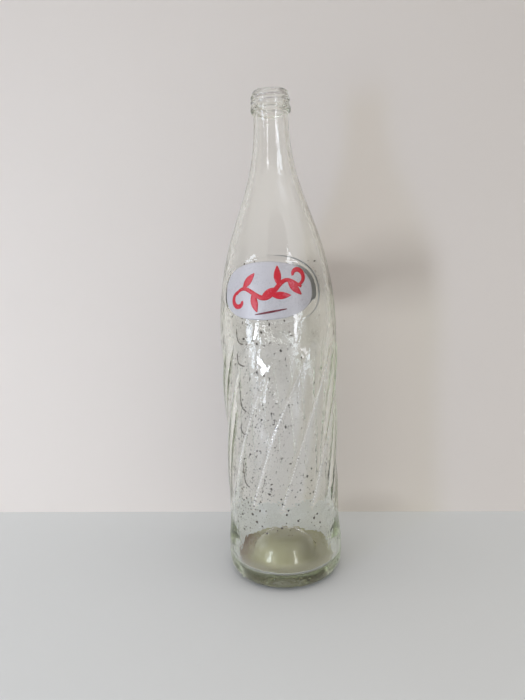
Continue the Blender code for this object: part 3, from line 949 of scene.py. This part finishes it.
for side, centre in LABELS:
    strokes = [stroke(stem, STEM_HALF_WIDTH, 48, blunt=0.55)]
    strokes += [stroke(scroll(end), STEM_HALF_WIDTH, 28, blunt=0.5) for end in (-1, 1)]
    for share, hand in ((0.13, 1), (0.28, -1), (0.40, 1), (0.54, -1), (0.67, 1), (0.82, -1)):
        strokes.append(stroke(leaf(share, hand), LEAF_HALF_WIDTH, 14))
    work = joined(strokes)
    wrap_print(work, centre, 0.0)
    make_piece(f"{side}_label_red", work, red_enamel, (f"{side}_label_sprig",))
    work = stroke(rule_line, 0.7 * MM, 16, blunt=0.4)
    wrap_print(work, centre, -PRINT_HEIGHT / 2 - 1.2 * MM)
    make_piece(f"{side}_label_line", work, dark_red_enamel, (f"{side}_label_rule",))

# %% [markdown]
# ## Dried soda on the floor
# The bottle was put away unwashed. The last drops dried to a dull film on its inner floor, khaki over the
# thick green glass and rusty brown where they gathered. It is thin enough to let some light through into
# the base. It follows the floor's own outline, a hair above it, and is spun like the glass. Its tones are
# clouds of a few centimetres with small spots in them.

# %% Dried film finish
dried_film, tree = empty_material("dried_soda_film")
place = add_node(tree, "ShaderNodeTexCoord")
clouds = add_node(
    tree,
    "ShaderNodeTexNoise",
    {"Scale": 1 / (16 * MM), "Detail": 5.0, "Roughness": 0.6},
    {"Vector": place.outputs["Object"]},
)
spots = add_node(
    tree, "ShaderNodeTexNoise", {"Scale": 1 / (1.6 * MM), "Detail": 3.0}, {"Vector": place.outputs["Object"]}
)
where = add_node(tree, "ShaderNodeSeparateXYZ", links={"Vector": place.outputs["Object"]})
left = add_node(
    tree,
    "ShaderNodeMapRange",
    {"From Min": -14 * MM, "From Max": -34 * MM, "To Min": 0.0, "To Max": 0.55},
    {"Value": where.outputs["X"]},
)
stain = add_node(
    tree,
    "ShaderNodeMath",
    {"operation": "MULTIPLY_ADD", 1: 0.6},
    {0: clouds.outputs["Fac"], 2: left.outputs["Result"]},
)
stain = add_node(
    tree,
    "ShaderNodeMath",
    {"operation": "MULTIPLY_ADD", 1: 0.35},
    {0: spots.outputs["Fac"], 2: stain.outputs["Value"]},
)
brown = add_node(
    tree, "ShaderNodeMapRange", {"From Min": 0.72, "From Max": 1.05}, {"Value": stain.outputs["Value"]}
)
film_colour = add_node(
    tree,
    "ShaderNodeMix",
    {"data_type": "RGBA", 6: linear("#DAD9B2"), 7: linear("#A07850")},
    {0: brown.outputs["Result"]},
)
film_bump = add_node(
    tree, "ShaderNodeBump", {"Strength": 0.25, "Distance": 0.10 * MM}, {"Height": spots.outputs["Fac"]}
)
film = add_node(
    tree,
    "ShaderNodeBsdfPrincipled",
    {"Roughness": 0.25, "IOR": 1.45, "Transmission Weight": 0.35, "Coat Weight": 1.0, "Coat Roughness": 0.05},
    {"Base Color": film_colour.outputs[2], "Normal": film_bump.outputs["Normal"]},
)
ray = add_node(tree, "ShaderNodeLightPath")
let_through = add_node(tree, "ShaderNodeBsdfTransparent", {"Color": linear("#E0DCC4")})
lit = add_node(
    tree,
    "ShaderNodeMixShader",
    links={0: ray.outputs["Is Shadow Ray"], 1: film.outputs["BSDF"], 2: let_through.outputs["BSDF"]},
)
add_node(tree, "ShaderNodeOutputMaterial", links={"Surface": lit.outputs["Shader"]})

# %% Dried film
FILM_CLEAR, FILM = 0.12 * MM, 0.10 * MM
FILM_TOP = FLOOR_HEIGHT + 3.0 * MM
DOME_TOP = FLOOR_HEIGHT + DOME_HEIGHT + 1 * MM
path = [(r, z) for r, z in inside if z < FILM_TOP or (r <= DOME_RADIUS and z < DOME_TOP)]
work = bmesh.new()
dots = []
for clear, points in ((FILM_CLEAR, path), (FILM_CLEAR + FILM, path[::-1])):
    for radius, height in points:
        inwards = clear * ease(DOME_RADIUS + 4 * MM, INSIDE_RADIUS, radius)
        dots.append(work.verts.new((max(radius - inwards, 0.0), 0.0, height + clear)))
for first, second in zip(dots, dots[1:]):
    work.edges.new((first, second))
bmesh.ops.spin(
    work,
    geom=list(work.verts) + list(work.edges),
    cent=(0, 0, 0),
    axis=(0, 0, 1),
    angle=2 * math.pi,
    steps=96,
    use_merge=True,
)
bmesh.ops.remove_doubles(work, verts=work.verts, dist=1e-7)
bmesh.ops.recalc_face_normals(work, faces=work.faces)
for dot in work.verts:
    around = math.atan2(dot.co.y, dot.co.x)
    edge = ease(DOME_RADIUS + 6 * MM, INSIDE_RADIUS, math.hypot(dot.co.x, dot.co.y))
    wave = noise.noise(Vector((4 * math.cos(around), 4 * math.sin(around), 3.0)))
    dot.co.z += edge * 1.2 * MM * max(wave, 0.0)
make_piece("dried_film", work, dried_film)

# %% [markdown]
# ## Specks of dirt and dark streaks
# More than a thousand small dark specks cling to the inside, from dried sugar and mould. Each is a
# flattened icosphere of twenty faces, laid on the inner wall, turned and pulled at random from a fixed
# seed, so every run gives the same bottle. Five more lines of specks, each hooked sideways towards its foot,
# are a painted dark reflection: the dark room seen bent through the ribs at the back. Each has the height of
# its top and its length in millimetres.

# %% Specks
dirt_and_dark_reflection, tree = empty_material("dirt_and_dark_reflection")
place = add_node(tree, "ShaderNodeTexCoord")
mottle = add_node(
    tree, "ShaderNodeTexNoise", {"Scale": 1 / (4 * MM), "Detail": 2.0}, {"Vector": place.outputs["Object"]}
)
dirt_colour = add_node(
    tree,
    "ShaderNodeMix",
    {"data_type": "RGBA", 6: linear("#1E1610"), 7: linear("#4A3828")},
    {0: mottle.outputs["Fac"]},
)
dirt = add_node(tree, "ShaderNodeBsdfPrincipled", {"Roughness": 0.8}, {"Base Color": dirt_colour.outputs[2]})
add_node(tree, "ShaderNodeOutputMaterial", links={"Surface": dirt.outputs["BSDF"]})


def on_inside(around, height, clear):
    wave = unevenness(around, height) * (1 - ease(SHOULDER_START, COLLAR_UNDERSIDE, height))
    radius = inner_radius(height) + wave
    return Vector(((radius - clear) * math.cos(around), (radius - clear) * math.sin(around), height))


def add_speck(work, chance, around, height, size):
    """One flat flake on the inner wall, with its face towards the axis."""
    turn = Matrix.Rotation(around, 4, "Z") @ Matrix.Rotation(chance.uniform(0, math.pi), 4, "X")
    wide, high = size * chance.uniform(0.3, 0.5), size * chance.uniform(0.4, 0.7)
    shape = Matrix.Diagonal((0.06 * MM, wide, high, 1.0))
    matrix = Matrix.Translation(on_inside(around, height, 0.08 * MM)) @ turn @ shape
    made = bmesh.ops.create_icosphere(work, subdivisions=1, radius=1.0, matrix=matrix)
    for dot in made["verts"]:
        dot.co += turn.to_3x3() @ Vector((0, chance.uniform(-1, 1), chance.uniform(-1, 1))) * size * 0.12


DIRTY_ANGLE = math.radians(130)
STREAK_ANGLE = math.radians(-128)
HOOK_ANGLE = math.radians(9)
# tops and lengths in mm of the streaks that are a painted dark reflection, not dirt
DARK_REFLECTION_STREAKS = ((186, 10), (169, 8), (149, 20), (118, 6), (92, 18))
SPECKS, SPECK_HEIGHTS = 1500, (40, 232)
chance = random.Random(7)
work = bmesh.new()
made = 0
while made < SPECKS:
    around, height = chance.uniform(-math.pi, math.pi), chance.uniform(*SPECK_HEIGHTS) * MM
    thick = 0.5 + 0.5 * noise.noise(Vector((2 * math.cos(around), 2 * math.sin(around), height / (22 * MM))))
    left_side = math.exp(-(((abs(around) - DIRTY_ANGLE) / 0.55) ** 2))
    if chance.random() < (0.22 + 0.78 * left_side) * thick * (1.3 - ease(60 * MM, 230 * MM, height)):
        size = chance.choice((0.55, 0.6, 0.7, 0.8, 0.9, 1.1, 1.7)) * MM
        add_speck(work, chance, around, height, size)
        made += 1
# painted dark reflection: the dark room seen through the back ribs, laid as hooked lines of specks
for top_mm, length_mm in DARK_REFLECTION_STREAKS:
    count = 24 + 2 * length_mm
    for step in range(count):
        share = step / count
        height = (top_mm - length_mm * math.sin(math.pi / 2 * share)) * MM
        around = STREAK_ANGLE + HOOK_ANGLE * share**3 + math.radians(chance.uniform(-0.25, 0.25))
        add_speck(work, chance, around, height, chance.choice((0.7, 0.9, 1.1)) * MM)
make_piece("dirt_specks_and_dark_reflection", work, dirt_and_dark_reflection)
